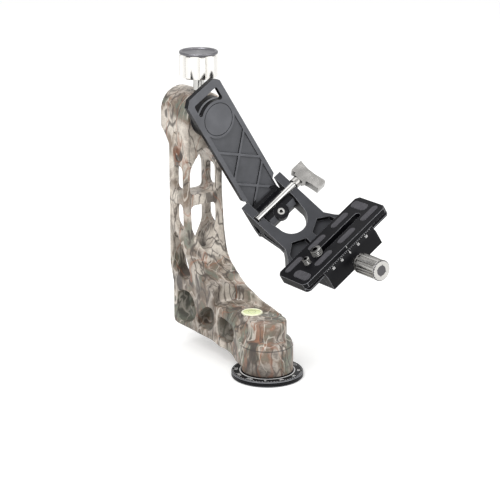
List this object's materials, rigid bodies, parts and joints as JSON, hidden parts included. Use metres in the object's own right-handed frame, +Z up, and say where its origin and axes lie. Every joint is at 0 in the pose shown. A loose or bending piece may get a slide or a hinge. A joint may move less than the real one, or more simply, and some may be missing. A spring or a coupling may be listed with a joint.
{
  "type": "gimbal tripod head",
  "caption": "Side-arm gimbal head for a long lens: panning drum, cast camouflage arm, swing arm on a tilt axis, folding yoke and a quick release clamp with its sliding plate.",
  "frame": {"origin": "Centre of the base disc's underside, at the mouth of the tripod thread on the pan axis. The pan axis is Z.", "axes": "+Z runs up the pan axis. X runs along the tilt axis, with the cast arm on the -X side and the clamp knob on the +X side. The plate's long side leans in the YZ plane."},
  "size_m": [0.1873, 0.1393, 0.258],
  "materials": {
    "black_anodised": "satin",
    "printed_casting": "satin",
    "bright_aluminium": "polished",
    "turned_aluminium": "satin",
    "spindle_steel": "satin",
    "bearing_steel": "polished",
    "spring_steel": "satin",
    "black_screw": "satin",
    "bright_screw": "polished",
    "brass_shoe": "satin",
    "pad_rubber": "matte",
    "level_white": "matte",
    "level_liquid": "gloss"
  },
  "bodies": {
    "base": {"base_disc": "black_anodised", "pan_spindle": "spindle_steel", "thread_bush": "bright_screw", "base_screws": "black_screw", "pan_spacer": "turned_aluminium", "pan_circlip": "spring_steel"},
    "pan": {"arm": "printed_casting", "pan_retainer": "turned_aluminium", "pan_bearings": "bearing_steel", "level_base": "level_white", "level_vial": "level_liquid", "tilt_bearings": "bearing_steel", "tilt_end_cap": "black_anodised"},
    "pan_brake": {"pan_shoe": "brass_shoe"},
    "pan_lock": {"pan_lock_screw": "bright_screw", "pan_lock_knob": "bright_aluminium"},
    "tilt": {"tilt_spindle": "spindle_steel", "tilt_circlip": "spring_steel", "tilt_hub": "black_anodised", "swing_arm": "black_anodised", "hub_screws": "black_screw", "hub_centre_screw": "black_screw", "swing_cap": "black_anodised", "hinge_rod": "bright_screw", "rod_set_screw": "bright_screw"},
    "tilt_brake": {"tilt_shoe": "brass_shoe"},
    "tilt_lock": {"tilt_lock_screw": "bright_screw", "tilt_lock_knob": "bright_aluminium", "tilt_knob_cap": "turned_aluminium"},
    "yoke_frame": {"yoke": "black_anodised", "clamp_body": "black_anodised", "clamp_screws": "black_screw"},
    "wing": {"wing_nut": "bright_aluminium"},
    "jaw": {"movable_jaw": "black_anodised", "jaw_pins": "bright_screw"},
    "jaw_knob": {"clamp_screw": "bright_screw", "clamp_knob": "bright_aluminium"},
    "plate": {"qr_plate": "black_anodised", "plate_pads": "pad_rubber"},
    "big_screw": {"camera_screw": "bright_screw"},
    "small_screw": {"lens_screw": "bright_screw"}
  },
  "joints": [
    {"name": "pan_turn", "type": "hinge", "parent": "base", "child": "pan", "pos_m": [0, 0, 0.02], "axis": [0, 0, 1], "continuous": true},
    {"name": "tilt_turn", "type": "hinge", "parent": "pan", "child": "tilt", "pos_m": [-0.09, 0, 0.2048], "axis": [1, 0, 0], "continuous": true},
    {"name": "yoke_fold", "type": "hinge", "parent": "tilt", "child": "yoke_frame", "pos_m": [-0.0566, 0.04896, 0.12774], "axis": [0, -0.844, -0.5363], "range_deg": [0, 90]},
    {"name": "wing_nut_turn", "type": "hinge", "parent": "tilt", "child": "wing", "pos_m": [-0.0566, 0.07681, 0.14544], "axis": [0, 0.844, 0.5363], "range_deg": [0, 90]},
    {"name": "jaw_slide", "type": "slide", "parent": "yoke_frame", "child": "jaw", "axis": [1, 0, 0], "range_m": [0, 0.003]},
    {"name": "clamp_knob_turn", "type": "hinge", "parent": "jaw", "child": "jaw_knob", "pos_m": [0.03, 0.07079, 0.09339], "axis": [1, 0, 0], "range_deg": [0, 1080]},
    {"name": "plate_slide", "type": "slide", "parent": "yoke_frame", "child": "plate", "axis": [0, 0.844, 0.5363], "range_m": [-0.02, 0.02]},
    {"name": "camera_screw_turn", "type": "hinge", "parent": "plate", "child": "big_screw", "pos_m": [0.00565, 0.05, 0.0944], "axis": [0, -0.5363, 0.844], "continuous": true},
    {"name": "lens_screw_turn", "type": "hinge", "parent": "plate", "child": "small_screw", "pos_m": [0.00565, 0.03988, 0.08796], "axis": [0, -0.5363, 0.844], "continuous": true},
    {"name": "tilt_shoe_slide", "type": "slide", "parent": "pan", "child": "tilt_brake", "axis": [0, 0, -1], "range_m": [0, 0.00025]},
    {"name": "tilt_lock_turn", "type": "hinge", "parent": "tilt_brake", "child": "tilt_lock", "pos_m": [-0.0975, 0, 0.23], "axis": [0, 0, -1], "range_deg": [0, 72]},
    {"name": "pan_shoe_slide", "type": "slide", "parent": "pan", "child": "pan_brake", "axis": [0.5, -0.866, 0], "range_m": [0, 0.00025]},
    {"name": "pan_lock_turn", "type": "hinge", "parent": "pan_brake", "child": "pan_lock", "pos_m": [-0.015, 0.02598, 0.0147], "axis": [0.5, -0.866, 0], "range_deg": [0, 90]}
  ],
  "couplings": [
    {"joint": "clamp_knob_turn", "follows": "jaw_slide", "rad_per_m": 6283.2},
    {"joint": "tilt_lock_turn", "follows": "tilt_shoe_slide", "rad_per_m": 5026.5},
    {"joint": "pan_lock_turn", "follows": "pan_shoe_slide", "rad_per_m": 6283.2}
  ]
}
